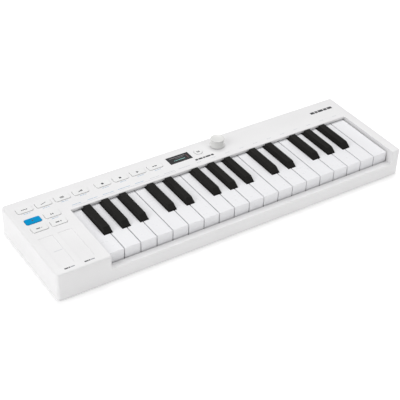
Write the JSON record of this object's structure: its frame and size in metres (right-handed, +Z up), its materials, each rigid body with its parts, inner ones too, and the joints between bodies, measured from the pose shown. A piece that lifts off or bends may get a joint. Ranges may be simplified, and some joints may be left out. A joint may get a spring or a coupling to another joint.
{
  "type": "midi keyboard",
  "caption": "Slim portable MIDI keyboard controller: white case, black and white keys, deck buttons, push encoder, small display, two touch strips.",
  "frame": {"origin": "on the resting surface, under the middle of the case", "axes": "+X along the keyboard towards its high notes, +Y away from the player, +Z up"},
  "size_m": [0.4868, 0.145, 0.0492],
  "materials": {
    "case_white": "fine matte moulded ABS, off-white",
    "plate_white": "plain matte moulded plastic",
    "key_white": "satin moulded key plastic, cool white",
    "key_black": "satin black moulded key plastic",
    "button_white": "soft matte off-white, legend printed as plain marks",
    "button_blue": "soft matte cyan blue",
    "knob_white": "semi-gloss warm white",
    "strip_white": "matte touch surface",
    "display_glass": "clear gloss window over a black panel",
    "frame_plastic": "dark grey moulded frame",
    "circuit_board": "green solder mask",
    "socket_black": "black moulded socket",
    "shaft_steel": "turned steel",
    "foot_rubber": "soft black rubber"
  },
  "bodies": {
    "case": {"top_cover": "case_white", "bottom_plate": "plate_white", "foot_front_left": "foot_rubber", "foot_front_right": "foot_rubber", "foot_rear_left": "foot_rubber", "foot_rear_right": "foot_rubber", "key_frame": "frame_plastic", "key_contact_board": "circuit_board", "main_board": "circuit_board", "pedal_jack": "socket_black", "display_window": "display_glass", "pitch_strip": "strip_white", "mod_strip": "strip_white"},
    "white_key_01": {"white_key_01": "key_white"},
    "black_key_01": {"black_key_01": "key_black"},
    "white_key_02": {"white_key_02": "key_white"},
    "black_key_02": {"black_key_02": "key_black"},
    "white_key_03": {"white_key_03": "key_white"},
    "black_key_03": {"black_key_03": "key_black"},
    "white_key_04": {"white_key_04": "key_white"},
    "white_key_05": {"white_key_05": "key_white"},
    "black_key_04": {"black_key_04": "key_black"},
    "white_key_06": {"white_key_06": "key_white"},
    "black_key_05": {"black_key_05": "key_black"},
    "white_key_07": {"white_key_07": "key_white"},
    "white_key_08": {"white_key_08": "key_white"},
    "black_key_06": {"black_key_06": "key_black"},
    "white_key_09": {"white_key_09": "key_white"},
    "black_key_07": {"black_key_07": "key_black"},
    "white_key_10": {"white_key_10": "key_white"},
    "black_key_08": {"black_key_08": "key_black"},
    "white_key_11": {"white_key_11": "key_white"},
    "white_key_12": {"white_key_12": "key_white"},
    "black_key_09": {"black_key_09": "key_black"},
    "white_key_13": {"white_key_13": "key_white"},
    "black_key_10": {"black_key_10": "key_black"},
    "white_key_14": {"white_key_14": "key_white"},
    "white_key_15": {"white_key_15": "key_white"},
    "black_key_11": {"black_key_11": "key_black"},
    "white_key_16": {"white_key_16": "key_white"},
    "black_key_12": {"black_key_12": "key_black"},
    "white_key_17": {"white_key_17": "key_white"},
    "black_key_13": {"black_key_13": "key_black"},
    "white_key_18": {"white_key_18": "key_white"},
    "white_key_19": {"white_key_19": "key_white"},
    "button_mode_1": {"button_mode_1": "button_white"},
    "button_mode_2": {"button_mode_2": "button_white"},
    "button_mode_3": {"button_mode_3": "button_white"},
    "button_mode_4": {"button_mode_4": "button_white"},
    "button_record": {"button_record": "button_white"},
    "button_stop": {"button_stop": "button_white"},
    "button_play": {"button_play": "button_white"},
    "button_tap": {"button_tap": "button_white"},
    "button_shift": {"button_shift": "button_blue"},
    "button_hold": {"button_hold": "button_white"},
    "button_octave_down": {"button_octave_down": "button_white"},
    "button_octave_up": {"button_octave_up": "button_white"},
    "button_menu_round": {"button_menu_round": "button_white"},
    "encoder_shaft": {"encoder_shaft": "shaft_steel"},
    "encoder_knob": {"encoder_knob": "knob_white"}
  },
  "joints": [
    {"name": "white_key_01_press", "type": "hinge", "parent": "case", "child": "white_key_01", "pos_m": [-0.16485, 0.04, 0.0272], "axis": [1, 0, 0], "range_deg": [0, 3], "stiffness_Nm_per_rad": 0.4, "springref_deg": -5.73},
    {"name": "black_key_01_press", "type": "hinge", "parent": "case", "child": "black_key_01", "pos_m": [-0.1567, 0.04, 0.0272], "axis": [1, 0, 0], "range_deg": [0, 3], "stiffness_Nm_per_rad": 0.4, "springref_deg": -5.73},
    {"name": "white_key_02_press", "type": "hinge", "parent": "case", "child": "white_key_02", "pos_m": [-0.14355, 0.04, 0.0272], "axis": [1, 0, 0], "range_deg": [0, 3], "stiffness_Nm_per_rad": 0.4, "springref_deg": -5.73},
    {"name": "black_key_02_press", "type": "hinge", "parent": "case", "child": "black_key_02", "pos_m": [-0.1329, 0.04, 0.0272], "axis": [1, 0, 0], "range_deg": [0, 3], "stiffness_Nm_per_rad": 0.4, "springref_deg": -5.73},
    {"name": "white_key_03_press", "type": "hinge", "parent": "case", "child": "white_key_03", "pos_m": [-0.12225, 0.04, 0.0272], "axis": [1, 0, 0], "range_deg": [0, 3], "stiffness_Nm_per_rad": 0.4, "springref_deg": -5.73},
    {"name": "black_key_03_press", "type": "hinge", "parent": "case", "child": "black_key_03", "pos_m": [-0.1091, 0.04, 0.0272], "axis": [1, 0, 0], "range_deg": [0, 3], "stiffness_Nm_per_rad": 0.4, "springref_deg": -5.73},
    {"name": "white_key_04_press", "type": "hinge", "parent": "case", "child": "white_key_04", "pos_m": [-0.10095, 0.04, 0.0272], "axis": [1, 0, 0], "range_deg": [0, 3], "stiffness_Nm_per_rad": 0.4, "springref_deg": -5.73},
    {"name": "white_key_05_press", "type": "hinge", "parent": "case", "child": "white_key_05", "pos_m": [-0.07965, 0.04, 0.0272], "axis": [1, 0, 0], "range_deg": [0, 3], "stiffness_Nm_per_rad": 0.4, "springref_deg": -5.73},
    {"name": "black_key_04_press", "type": "hinge", "parent": "case", "child": "black_key_04", "pos_m": [-0.0709, 0.04, 0.0272], "axis": [1, 0, 0], "range_deg": [0, 3], "stiffness_Nm_per_rad": 0.4, "springref_deg": -5.73},
    {"name": "white_key_06_press", "type": "hinge", "parent": "case", "child": "white_key_06", "pos_m": [-0.05835, 0.04, 0.0272], "axis": [1, 0, 0], "range_deg": [0, 3], "stiffness_Nm_per_rad": 0.4, "springref_deg": -5.73},
    {"name": "black_key_05_press", "type": "hinge", "parent": "case", "child": "black_key_05", "pos_m": [-0.0458, 0.04, 0.0272], "axis": [1, 0, 0], "range_deg": [0, 3], "stiffness_Nm_per_rad": 0.4, "springref_deg": -5.73},
    {"name": "white_key_07_press", "type": "hinge", "parent": "case", "child": "white_key_07", "pos_m": [-0.03705, 0.04, 0.0272], "axis": [1, 0, 0], "range_deg": [0, 3], "stiffness_Nm_per_rad": 0.4, "springref_deg": -5.73},
    {"name": "white_key_08_press", "type": "hinge", "parent": "case", "child": "white_key_08", "pos_m": [-0.01575, 0.04, 0.0272], "axis": [1, 0, 0], "range_deg": [0, 3], "stiffness_Nm_per_rad": 0.4, "springref_deg": -5.73},
    {"name": "black_key_06_press", "type": "hinge", "parent": "case", "child": "black_key_06", "pos_m": [-0.0076, 0.04, 0.0272], "axis": [1, 0, 0], "range_deg": [0, 3], "stiffness_Nm_per_rad": 0.4, "springref_deg": -5.73},
    {"name": "white_key_09_press", "type": "hinge", "parent": "case", "child": "white_key_09", "pos_m": [0.00555, 0.04, 0.0272], "axis": [1, 0, 0], "range_deg": [0, 3], "stiffness_Nm_per_rad": 0.4, "springref_deg": -5.73},
    {"name": "black_key_07_press", "type": "hinge", "parent": "case", "child": "black_key_07", "pos_m": [0.0162, 0.04, 0.0272], "axis": [1, 0, 0], "range_deg": [0, 3], "stiffness_Nm_per_rad": 0.4, "springref_deg": -5.73},
    {"name": "white_key_10_press", "type": "hinge", "parent": "case", "child": "white_key_10", "pos_m": [0.02685, 0.04, 0.0272], "axis": [1, 0, 0], "range_deg": [0, 3], "stiffness_Nm_per_rad": 0.4, "springref_deg": -5.73},
    {"name": "black_key_08_press", "type": "hinge", "parent": "case", "child": "black_key_08", "pos_m": [0.04, 0.04, 0.0272], "axis": [1, 0, 0], "range_deg": [0, 3], "stiffness_Nm_per_rad": 0.4, "springref_deg": -5.73},
    {"name": "white_key_11_press", "type": "hinge", "parent": "case", "child": "white_key_11", "pos_m": [0.04815, 0.04, 0.0272], "axis": [1, 0, 0], "range_deg": [0, 3], "stiffness_Nm_per_rad": 0.4, "springref_deg": -5.73},
    {"name": "white_key_12_press", "type": "hinge", "parent": "case", "child": "white_key_12", "pos_m": [0.06945, 0.04, 0.0272], "axis": [1, 0, 0], "range_deg": [0, 3], "stiffness_Nm_per_rad": 0.4, "springref_deg": -5.73},
    {"name": "black_key_09_press", "type": "hinge", "parent": "case", "child": "black_key_09", "pos_m": [0.0782, 0.04, 0.0272], "axis": [1, 0, 0], "range_deg": [0, 3], "stiffness_Nm_per_rad": 0.4, "springref_deg": -5.73},
    {"name": "white_key_13_press", "type": "hinge", "parent": "case", "child": "white_key_13", "pos_m": [0.09075, 0.04, 0.0272], "axis": [1, 0, 0], "range_deg": [0, 3], "stiffness_Nm_per_rad": 0.4, "springref_deg": -5.73},
    {"name": "black_key_10_press", "type": "hinge", "parent": "case", "child": "black_key_10", "pos_m": [0.1033, 0.04, 0.0272], "axis": [1, 0, 0], "range_deg": [0, 3], "stiffness_Nm_per_rad": 0.4, "springref_deg": -5.73},
    {"name": "white_key_14_press", "type": "hinge", "parent": "case", "child": "white_key_14", "pos_m": [0.11205, 0.04, 0.0272], "axis": [1, 0, 0], "range_deg": [0, 3], "stiffness_Nm_per_rad": 0.4, "springref_deg": -5.73},
    {"name": "white_key_15_press", "type": "hinge", "parent": "case", "child": "white_key_15", "pos_m": [0.13335, 0.04, 0.0272], "axis": [1, 0, 0], "range_deg": [0, 3], "stiffness_Nm_per_rad": 0.4, "springref_deg": -5.73},
    {"name": "black_key_11_press", "type": "hinge", "parent": "case", "child": "black_key_11", "pos_m": [0.1415, 0.04, 0.0272], "axis": [1, 0, 0], "range_deg": [0, 3], "stiffness_Nm_per_rad": 0.4, "springref_deg": -5.73},
    {"name": "white_key_16_press", "type": "hinge", "parent": "case", "child": "white_key_16", "pos_m": [0.15465, 0.04, 0.0272], "axis": [1, 0, 0], "range_deg": [0, 3], "stiffness_Nm_per_rad": 0.4, "springref_deg": -5.73},
    {"name": "black_key_12_press", "type": "hinge", "parent": "case", "child": "black_key_12", "pos_m": [0.1653, 0.04, 0.0272], "axis": [1, 0, 0], "range_deg": [0, 3], "stiffness_Nm_per_rad": 0.4, "springref_deg": -5.73},
    {"name": "white_key_17_press", "type": "hinge", "parent": "case", "child": "white_key_17", "pos_m": [0.17595, 0.04, 0.0272], "axis": [1, 0, 0], "range_deg": [0, 3], "stiffness_Nm_per_rad": 0.4, "springref_deg": -5.73},
    {"name": "black_key_13_press", "type": "hinge", "parent": "case", "child": "black_key_13", "pos_m": [0.1891, 0.04, 0.0272], "axis": [1, 0, 0], "range_deg": [0, 3], "stiffness_Nm_per_rad": 0.4, "springref_deg": -5.73},
    {"name": "white_key_18_press", "type": "hinge", "parent": "case", "child": "white_key_18", "pos_m": [0.19725, 0.04, 0.0272], "axis": [1, 0, 0], "range_deg": [0, 3], "stiffness_Nm_per_rad": 0.4, "springref_deg": -5.73},
    {"name": "white_key_19_press", "type": "hinge", "parent": "case", "child": "white_key_19", "pos_m": [0.21855, 0.04, 0.0272], "axis": [1, 0, 0], "range_deg": [0, 3], "stiffness_Nm_per_rad": 0.4, "springref_deg": -5.73},
    {"name": "button_mode_1_press", "type": "slide", "parent": "case", "child": "button_mode_1", "axis": [0, 0, -1], "range_m": [0, 0.0006], "stiffness_N_per_m": 600, "springref_m": -0.0012},
    {"name": "button_mode_2_press", "type": "slide", "parent": "case", "child": "button_mode_2", "axis": [0, 0, -1], "range_m": [0, 0.0006], "stiffness_N_per_m": 600, "springref_m": -0.0012},
    {"name": "button_mode_3_press", "type": "slide", "parent": "case", "child": "button_mode_3", "axis": [0, 0, -1], "range_m": [0, 0.0006], "stiffness_N_per_m": 600, "springref_m": -0.0012},
    {"name": "button_mode_4_press", "type": "slide", "parent": "case", "child": "button_mode_4", "axis": [0, 0, -1], "range_m": [0, 0.0006], "stiffness_N_per_m": 600, "springref_m": -0.0012},
    {"name": "button_record_press", "type": "slide", "parent": "case", "child": "button_record", "axis": [0, 0, -1], "range_m": [0, 0.0006], "stiffness_N_per_m": 600, "springref_m": -0.0012},
    {"name": "button_stop_press", "type": "slide", "parent": "case", "child": "button_stop", "axis": [0, 0, -1], "range_m": [0, 0.0006], "stiffness_N_per_m": 600, "springref_m": -0.0012},
    {"name": "button_play_press", "type": "slide", "parent": "case", "child": "button_play", "axis": [0, 0, -1], "range_m": [0, 0.0006], "stiffness_N_per_m": 600, "springref_m": -0.0012},
    {"name": "button_tap_press", "type": "slide", "parent": "case", "child": "button_tap", "axis": [0, 0, -1], "range_m": [0, 0.0006], "stiffness_N_per_m": 600, "springref_m": -0.0012},
    {"name": "button_shift_press", "type": "slide", "parent": "case", "child": "button_shift", "axis": [0, 0, -1], "range_m": [0, 0.0006], "stiffness_N_per_m": 600, "springref_m": -0.0012},
    {"name": "button_hold_press", "type": "slide", "parent": "case", "child": "button_hold", "axis": [0, 0, -1], "range_m": [0, 0.0006], "stiffness_N_per_m": 600, "springref_m": -0.0012},
    {"name": "button_octave_down_press", "type": "slide", "parent": "case", "child": "button_octave_down", "axis": [0, 0, -1], "range_m": [0, 0.0006], "stiffness_N_per_m": 600, "springref_m": -0.0012},
    {"name": "button_octave_up_press", "type": "slide", "parent": "case", "child": "button_octave_up", "axis": [0, 0, -1], "range_m": [0, 0.0006], "stiffness_N_per_m": 600, "springref_m": -0.0012},
    {"name": "button_menu_round_press", "type": "slide", "parent": "case", "child": "button_menu_round", "axis": [0, 0, -1], "range_m": [0, 0.0006], "stiffness_N_per_m": 600, "springref_m": -0.0012},
    {"name": "encoder_push", "type": "slide", "parent": "case", "child": "encoder_shaft", "axis": [0, 0, -1], "range_m": [0, 0.0006], "stiffness_N_per_m": 2000, "springref_m": -0.001},
    {"name": "encoder_turn", "type": "hinge", "parent": "encoder_shaft", "child": "encoder_knob", "pos_m": [0.0458, 0.053, 0.0435], "axis": [0, 0, 1], "continuous": true}
  ]
}
